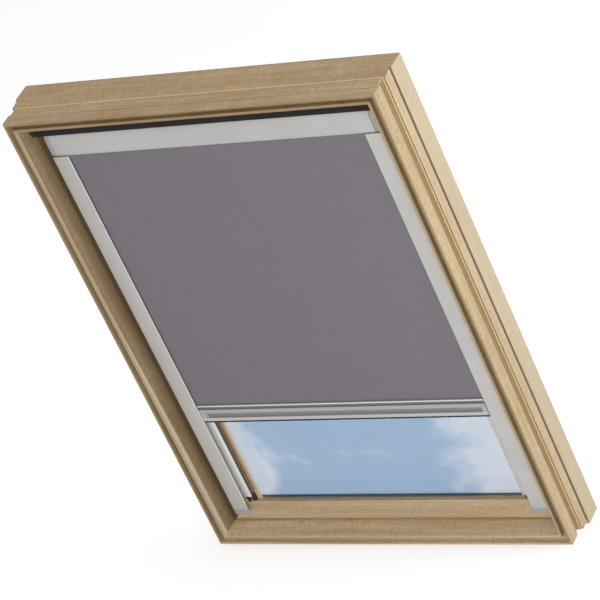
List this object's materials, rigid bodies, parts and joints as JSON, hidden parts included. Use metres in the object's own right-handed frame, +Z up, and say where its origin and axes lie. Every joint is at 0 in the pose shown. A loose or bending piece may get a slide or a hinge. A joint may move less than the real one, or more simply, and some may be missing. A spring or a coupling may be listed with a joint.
{
  "type": "skylight window blind",
  "caption": "Blackout roller blind with cassette, side channels and bottom bar, fitted in a centre-pivot pine skylight window with insulating glazing.",
  "frame": {"origin": "middle of the frame's lowest edge, halfway through the whole depth", "axes": "+X across the window to the right as seen from the room, +Y away from the room through the window, +Z up the window towards its head"},
  "size_m": [0.78, 0.1198, 1.0475],
  "materials": {
    "frame_pine": "clear lacquered pine",
    "sash_pine": "clear lacquered pine",
    "cover_sheet": "satin grey paint on formed aluminium",
    "blind_aluminium": "satin anodised",
    "cap_plastic": "matte light grey",
    "dark_plastic": "matte black",
    "anthracite_metal": "satin anthracite",
    "steel": "zinc plated",
    "spacer_metal": "mill",
    "rubber": "matte",
    "bristle": "black pile",
    "blind_fabric": "opaque woven polyester",
    "pane_glass": "clear float glass"
  },
  "bodies": {
    "frame": {"frame_jamb_left": "frame_pine", "frame_jamb_right": "frame_pine", "frame_head": "frame_pine", "frame_sill": "frame_pine", "frame_cover_left": "cover_sheet", "frame_cover_right": "cover_sheet", "frame_cover_head": "cover_sheet", "frame_cover_sill": "cover_sheet", "pivot_plate_left": "steel", "pivot_plate_right": "steel", "striker_plate": "steel"},
    "sash": {"sash_bottom_rail": "sash_pine", "sash_top_rail": "sash_pine", "sash_stile_left": "sash_pine", "sash_stile_right": "sash_pine", "sash_gasket_left": "rubber", "sash_gasket_right": "rubber", "pivot_pin_left": "steel", "pivot_pin_right": "steel", "lock_case": "steel", "inner_pane": "pane_glass", "outer_pane": "pane_glass", "glass_spacer_left": "spacer_metal", "glass_spacer_right": "spacer_metal", "glass_spacer_bottom": "spacer_metal", "glass_spacer_top": "spacer_metal", "sash_cover_left": "cover_sheet", "sash_cover_right": "cover_sheet", "sash_cover_head": "cover_sheet", "sash_cover_sill": "cover_sheet", "control_bar_hinge_left": "steel", "control_bar_hinge_right": "steel", "side_channel_left": "blind_aluminium", "side_channel_right": "blind_aluminium", "channel_cap_left": "cap_plastic", "channel_cap_right": "cap_plastic", "track_clip_left": "dark_plastic", "track_clip_right": "dark_plastic", "cassette_cover": "blind_aluminium", "cassette_back_rail": "blind_aluminium", "cassette_cap_left": "cap_plastic", "cassette_cap_right": "cap_plastic", "spring_shaft": "steel"},
    "control_bar": {"control_bar": "anthracite_metal", "control_bar_cap_left": "dark_plastic", "control_bar_cap_right": "dark_plastic"},
    "roller": {"roller_tube": "steel", "fabric_roll": "blind_fabric", "roller_plug_left": "cap_plastic", "roller_plug_right": "cap_plastic", "roller_spring": "steel"},
    "blind_bar": {"bottom_bar": "blind_aluminium", "bar_glider_left": "dark_plastic", "bar_glider_right": "dark_plastic", "brush_seal": "bristle", "blind_fabric": "blind_fabric"}
  },
  "joints": [
    {"name": "sash_pivot", "type": "hinge", "parent": "frame", "child": "sash", "pos_m": [0, 0.0021, 0.5285], "axis": [1, 0, 0], "range_deg": [0, 160]},
    {"name": "control_bar_turn", "type": "hinge", "parent": "sash", "child": "control_bar", "pos_m": [0, -0.0279, 0.9975], "axis": [1, 0, 0], "range_deg": [0, 60]},
    {"name": "blind_slide", "type": "slide", "parent": "sash", "child": "blind_bar", "axis": [0, 0, 1], "range_m": [-0.2, 0.595], "deforming": ["blind_fabric"]},
    {"name": "roller_turn", "type": "hinge", "parent": "sash", "child": "roller", "pos_m": [0, -0.0157, 0.9645], "axis": [1, 0, 0], "range_deg": [-1330, 3930]}
  ],
  "couplings": [
    {"joint": "roller_turn", "follows": "blind_slide", "rad_per_m": 115}
  ]
}
